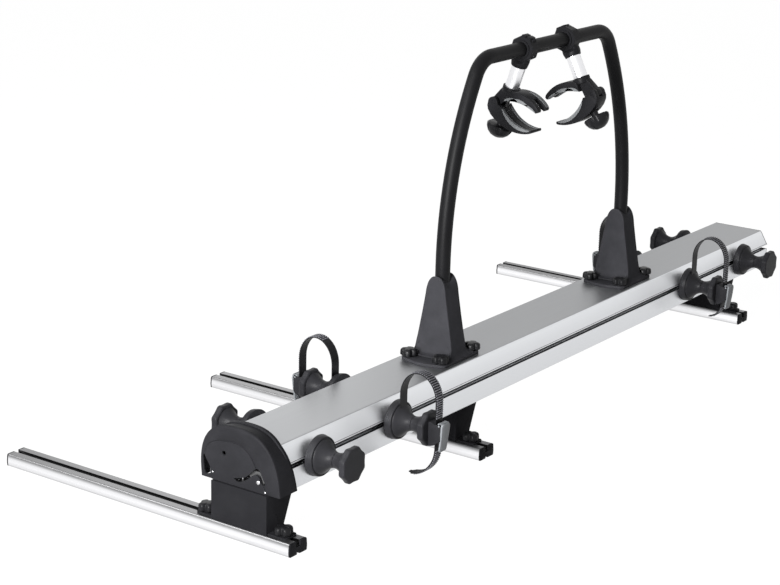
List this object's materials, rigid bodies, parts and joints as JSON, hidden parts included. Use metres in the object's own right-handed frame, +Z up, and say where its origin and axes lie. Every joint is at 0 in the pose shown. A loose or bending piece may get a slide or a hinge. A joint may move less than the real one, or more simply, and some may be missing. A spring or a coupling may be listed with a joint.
{
  "type": "slide-out bike carrier",
  "caption": "Floor-mounted slide-out bike carrier: a long beam on cross rails with wheel cradles, straps and a hoop with claw arms.",
  "frame": {"origin": "middle of the front cross rail's underside, below the beam's centreline", "axes": "+X along the beam from its capped end to its open end, +Y to the cross rails' long side, +Z up"},
  "size_m": [1.9789, 0.7771, 0.7998],
  "materials": {
    "rail_aluminium": "satin anodised",
    "beam_aluminium": "satin anodised",
    "tube_aluminium": "satin",
    "black_steel": "satin black powder coat",
    "hoop_paint": "semi-gloss black",
    "zinc_steel": "zinc plated",
    "bright_steel": "bright",
    "black_plastic": "matt moulded",
    "cap_plastic": "fine grain moulded",
    "tower_plastic": "fine grain moulded",
    "knob_plastic": "semi-gloss moulded",
    "claw_plastic": "fine grain moulded",
    "cradle_plastic": "fine grain moulded",
    "strap_plastic": "ribbed, flexible",
    "buckle_plastic": "moulded",
    "buckle_lever_plastic": "light grey moulded",
    "lever_plastic": "dark grey moulded",
    "glide_nylon": "natural nylon"
  },
  "bodies": {
    "base": {"rail_front": "rail_aluminium", "rail_middle": "rail_aluminium", "rail_far": "rail_aluminium", "rail_end_caps": "black_plastic", "bracket_front": "black_steel", "bracket_middle": "black_steel", "bracket_far": "black_steel", "inner_rail": "zinc_steel", "bracket_fasteners": "knob_plastic", "front_glides": "glide_nylon"},
    "carriage": {"beam": "beam_aluminium", "end_cap": "cap_plastic", "end_plate": "black_plastic", "rear_glides": "glide_nylon", "tower_front": "tower_plastic", "tower_far": "tower_plastic", "tower_clamps": "knob_plastic", "hoop": "hoop_paint", "arm_bush_left": "claw_plastic", "arm_bush_right": "claw_plastic"},
    "latch_lever": {"latch_lever": "lever_plastic"},
    "latch_bolt": {"latch_bolt": "bright_steel"},
    "arm_left": {"arm_collar_left": "claw_plastic", "arm_tube_left": "tube_aluminium", "upper_jaw_left": "claw_plastic"},
    "lower_jaw_left": {"lower_jaw_left": "claw_plastic"},
    "claw_knob_left": {"claw_knob_left": "knob_plastic"},
    "arm_right": {"arm_collar_right": "claw_plastic", "arm_tube_right": "tube_aluminium", "upper_jaw_right": "claw_plastic"},
    "lower_jaw_right": {"lower_jaw_right": "claw_plastic"},
    "claw_knob_right": {"claw_knob_right": "knob_plastic"},
    "support_right_1": {"cradle_right_1": "cradle_plastic"},
    "cradle_knob_right_1": {"cradle_knob_right_1": "cradle_plastic"},
    "support_right_2": {"cradle_right_2": "cradle_plastic", "strap_right_2": "strap_plastic", "buckle_right_2": "buckle_plastic"},
    "cradle_knob_right_2": {"cradle_knob_right_2": "cradle_plastic"},
    "buckle_lever_right_2": {"buckle_lever_right_2": "buckle_lever_plastic"},
    "support_right_3": {"cradle_right_3": "cradle_plastic", "strap_right_3": "strap_plastic", "buckle_right_3": "buckle_plastic"},
    "cradle_knob_right_3": {"cradle_knob_right_3": "cradle_plastic"},
    "buckle_lever_right_3": {"buckle_lever_right_3": "buckle_lever_plastic"},
    "support_right_4": {"cradle_right_4": "cradle_plastic"},
    "cradle_knob_right_4": {"cradle_knob_right_4": "cradle_plastic"},
    "support_left_1": {"cradle_left_1": "cradle_plastic"},
    "cradle_knob_left_1": {"cradle_knob_left_1": "cradle_plastic"},
    "support_left_2": {"cradle_left_2": "cradle_plastic", "strap_left_2": "strap_plastic", "buckle_left_2": "buckle_plastic"},
    "cradle_knob_left_2": {"cradle_knob_left_2": "cradle_plastic"},
    "buckle_lever_left_2": {"buckle_lever_left_2": "buckle_lever_plastic"},
    "support_left_3": {"cradle_left_3": "cradle_plastic", "strap_left_3": "strap_plastic", "buckle_left_3": "buckle_plastic"},
    "cradle_knob_left_3": {"cradle_knob_left_3": "cradle_plastic"},
    "buckle_lever_left_3": {"buckle_lever_left_3": "buckle_lever_plastic"},
    "support_left_4": {"cradle_left_4": "cradle_plastic"},
    "cradle_knob_left_4": {"cradle_knob_left_4": "cradle_plastic"}
  },
  "joints": [
    {"name": "slide_out", "type": "slide", "parent": "base", "child": "carriage", "axis": [-1, 0, 0], "range_m": [0, 1.2]},
    {"name": "latch_release", "type": "hinge", "parent": "carriage", "child": "latch_lever", "pos_m": [-0.01, -0.045, 0.1206], "axis": [1, 0, 0], "range_deg": [-7.7, 0]},
    {"name": "latch_drop", "type": "slide", "parent": "carriage", "child": "latch_bolt", "axis": [0, 0, 1], "range_m": [-0.005, 0]},
    {"name": "arm_swing_left", "type": "hinge", "parent": "carriage", "child": "arm_left", "pos_m": [0.885, 0, 0.7698], "axis": [1, 0, 0], "range_deg": [-98, 62]},
    {"name": "jaw_open_left", "type": "hinge", "parent": "arm_left", "child": "lower_jaw_left", "pos_m": [0.885, 0.06, 0.65471], "axis": [1, 0, 0], "range_deg": [-12, 18]},
    {"name": "claw_knob_turn_left", "type": "hinge", "parent": "lower_jaw_left", "child": "claw_knob_left", "pos_m": [0.885, 0.05094, 0.60655], "axis": [0, 0.309, -0.9511], "continuous": true},
    {"name": "arm_swing_right", "type": "hinge", "parent": "carriage", "child": "arm_right", "pos_m": [1.052, 0, 0.7698], "axis": [1, 0, 0], "range_deg": [-54, 106]},
    {"name": "jaw_open_right", "type": "hinge", "parent": "arm_right", "child": "lower_jaw_right", "pos_m": [1.052, -0.07544, 0.66418], "axis": [-1, 0, 0], "range_deg": [-18, 12]},
    {"name": "claw_knob_turn_right", "type": "hinge", "parent": "lower_jaw_right", "child": "claw_knob_right", "pos_m": [1.052, -0.07829, 0.61526], "axis": [0, -0.5299, -0.848], "continuous": true},
    {"name": "support_slide_right_1", "type": "slide", "parent": "carriage", "child": "support_right_1", "axis": [1, 0, 0], "range_m": [-0.02, 0.08]},
    {"name": "knob_turn_right_1", "type": "hinge", "parent": "support_right_1", "child": "cradle_knob_right_1", "pos_m": [0.102, -0.143, 0.1457], "axis": [0, -1, 0], "continuous": true},
    {"name": "support_slide_right_2", "type": "slide", "parent": "carriage", "child": "support_right_2", "axis": [1, 0, 0], "range_m": [-0.08, 0.25]},
    {"name": "knob_turn_right_2", "type": "hinge", "parent": "support_right_2", "child": "cradle_knob_right_2", "pos_m": [0.342, -0.143, 0.1457], "axis": [0, -1, 0], "continuous": true},
    {"name": "buckle_open_right_2", "type": "hinge", "parent": "support_right_2", "child": "buckle_lever_right_2", "pos_m": [0.342, -0.1895, 0.1587], "axis": [-1, 0, 0], "range_deg": [0, 95]},
    {"name": "support_slide_right_3", "type": "slide", "parent": "carriage", "child": "support_right_3", "axis": [1, 0, 0], "range_m": [-0.25, 0.09]},
    {"name": "knob_turn_right_3", "type": "hinge", "parent": "support_right_3", "child": "cradle_knob_right_3", "pos_m": [1.515, -0.143, 0.1457], "axis": [0, -1, 0], "continuous": true},
    {"name": "buckle_open_right_3", "type": "hinge", "parent": "support_right_3", "child": "buckle_lever_right_3", "pos_m": [1.515, -0.1895, 0.1587], "axis": [-1, 0, 0], "range_deg": [0, 95]},
    {"name": "support_slide_right_4", "type": "slide", "parent": "carriage", "child": "support_right_4", "axis": [1, 0, 0], "range_m": [-0.09, 0.09]},
    {"name": "knob_turn_right_4", "type": "hinge", "parent": "support_right_4", "child": "cradle_knob_right_4", "pos_m": [1.797, -0.143, 0.1457], "axis": [0, -1, 0], "continuous": true},
    {"name": "support_slide_left_1", "type": "slide", "parent": "carriage", "child": "support_left_1", "axis": [1, 0, 0], "range_m": [-0.02, 0.08]},
    {"name": "knob_turn_left_1", "type": "hinge", "parent": "support_left_1", "child": "cradle_knob_left_1", "pos_m": [0.132, 0.143, 0.1457], "axis": [0, 1, 0], "continuous": true},
    {"name": "support_slide_left_2", "type": "slide", "parent": "carriage", "child": "support_left_2", "axis": [1, 0, 0], "range_m": [-0.08, 0.25]},
    {"name": "knob_turn_left_2", "type": "hinge", "parent": "support_left_2", "child": "cradle_knob_left_2", "pos_m": [0.394, 0.143, 0.1457], "axis": [0, 1, 0], "continuous": true},
    {"name": "buckle_open_left_2", "type": "hinge", "parent": "support_left_2", "child": "buckle_lever_left_2", "pos_m": [0.394, 0.1895, 0.1587], "axis": [1, 0, 0], "range_deg": [0, 95]},
    {"name": "support_slide_left_3", "type": "slide", "parent": "carriage", "child": "support_left_3", "axis": [1, 0, 0], "range_m": [-0.25, 0.09]},
    {"name": "knob_turn_left_3", "type": "hinge", "parent": "support_left_3", "child": "cradle_knob_left_3", "pos_m": [1.571, 0.143, 0.1457], "axis": [0, 1, 0], "continuous": true},
    {"name": "buckle_open_left_3", "type": "hinge", "parent": "support_left_3", "child": "buckle_lever_left_3", "pos_m": [1.571, 0.1895, 0.1587], "axis": [1, 0, 0], "range_deg": [0, 95]},
    {"name": "support_slide_left_4", "type": "slide", "parent": "carriage", "child": "support_left_4", "axis": [1, 0, 0], "range_m": [-0.09, 0.065]},
    {"name": "knob_turn_left_4", "type": "hinge", "parent": "support_left_4", "child": "cradle_knob_left_4", "pos_m": [1.825, 0.143, 0.1457], "axis": [0, 1, 0], "continuous": true}
  ],
  "couplings": [
    {"joint": "latch_drop", "follows": "latch_release", "m_per_rad": 0.0371}
  ]
}
